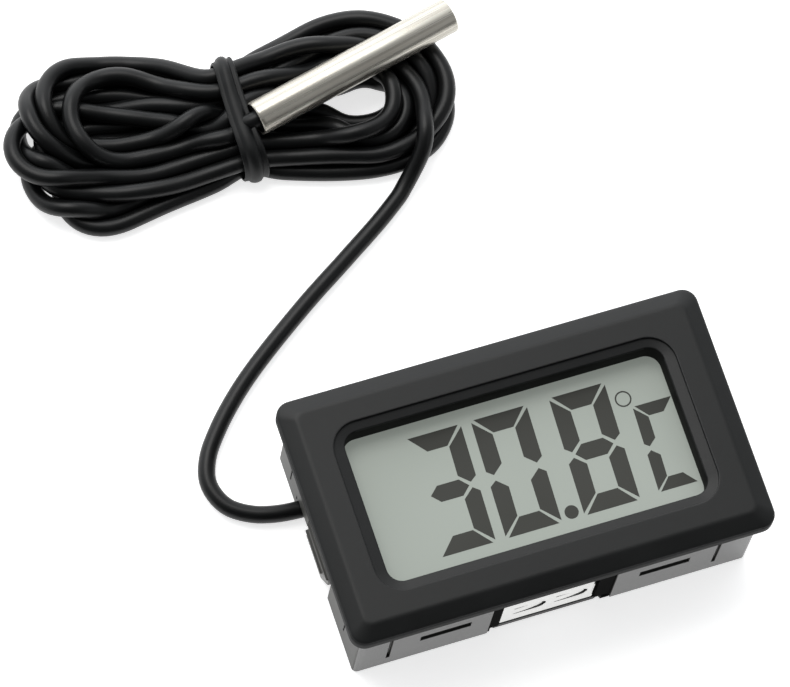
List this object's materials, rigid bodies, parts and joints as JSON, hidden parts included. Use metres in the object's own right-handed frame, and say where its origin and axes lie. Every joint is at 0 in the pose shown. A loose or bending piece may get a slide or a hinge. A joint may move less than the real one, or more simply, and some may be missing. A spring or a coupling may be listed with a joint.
{
  "type": "panel thermometer",
  "caption": "Battery panel thermometer with a liquid-crystal display in a snap-in black case and a steel probe on a long thin cord tied in a hank",
  "frame": {"origin": "centre of the case's back face, on the surface it lies on", "axes": "+Z is the way the display faces, +X runs along the case's long side to the right of the figures, +Y points to the top of the figures"},
  "size_m": [0.0663, 0.0773, 0.0152],
  "materials": {
    "case_plastic": "fine matt black moulding",
    "clip_plastic": "dark grey moulding, satin",
    "contact_nickel": "bright nickel plate",
    "steel": "polished stainless steel",
    "cell_seal": "nylon seal",
    "board": "green lacquered circuit board",
    "potting": "black resin",
    "chip_body": "black chip resistor",
    "chip_ceramic": "tan ceramic",
    "elastomer": "striped contact rubber",
    "display_film": "grey-green polarising film",
    "display_glass": "thin flat glass",
    "glue": "hot-melt glue",
    "lead_red": "insulated wire",
    "lead_black": "insulated wire",
    "cord_jacket": "soft satin black cord jacket",
    "tie_plastic": "ribbed black tie"
  },
  "bodies": {
    "case": {"case_shell": "case_plastic", "rear_cover": "case_plastic", "contact_plate": "contact_nickel", "cell_spring": "contact_nickel", "front_cell_can": "steel", "front_cell_seal": "cell_seal", "front_cell_cap": "steel", "rear_cell_can": "steel", "rear_cell_seal": "cell_seal", "rear_cell_cap": "steel", "circuit_board": "board", "chip_blob": "potting", "chip_resistor_1": "chip_body", "chip_resistor_2": "chip_body", "chip_capacitor_1": "chip_ceramic", "chip_capacitor_2": "chip_ceramic", "contact_rubber_top": "elastomer", "contact_rubber_bottom": "elastomer", "lcd_reflector": "display_film", "lcd_rear_glass": "display_glass", "lcd_front_glass": "display_glass", "lcd_front_film": "display_film", "cord_anchor": "glue", "lead_wire_red": "lead_red", "lead_wire_black": "lead_black", "cord_run": "cord_jacket", "cord_hank": "cord_jacket", "cord_tail": "cord_jacket", "twist_tie": "tie_plastic", "probe_tube": "steel", "probe_seal": "potting", "thermistor_bead": "potting", "thermistor_lead_1": "contact_nickel", "thermistor_lead_2": "contact_nickel"},
    "door": {"battery_door": "case_plastic", "cell_link_strip": "contact_nickel"},
    "clip_left": {"snap_clip_left": "clip_plastic"},
    "clip_right": {"snap_clip_right": "clip_plastic"}
  },
  "joints": [
    {"name": "door_slide", "type": "slide", "parent": "case", "child": "door", "axis": [0, -1, 0], "range_m": [0, 0.022]},
    {"name": "clip_left_flex", "type": "hinge", "parent": "case", "child": "clip_left", "pos_m": [-0.0224, 0, 0.0114], "axis": [0, -1, 0], "range_deg": [0, 6], "stiffness_Nm_per_rad": 0.05},
    {"name": "clip_right_flex", "type": "hinge", "parent": "case", "child": "clip_right", "pos_m": [0.0224, 0, 0.0114], "axis": [0, 1, 0], "range_deg": [0, 6], "stiffness_Nm_per_rad": 0.05}
  ]
}
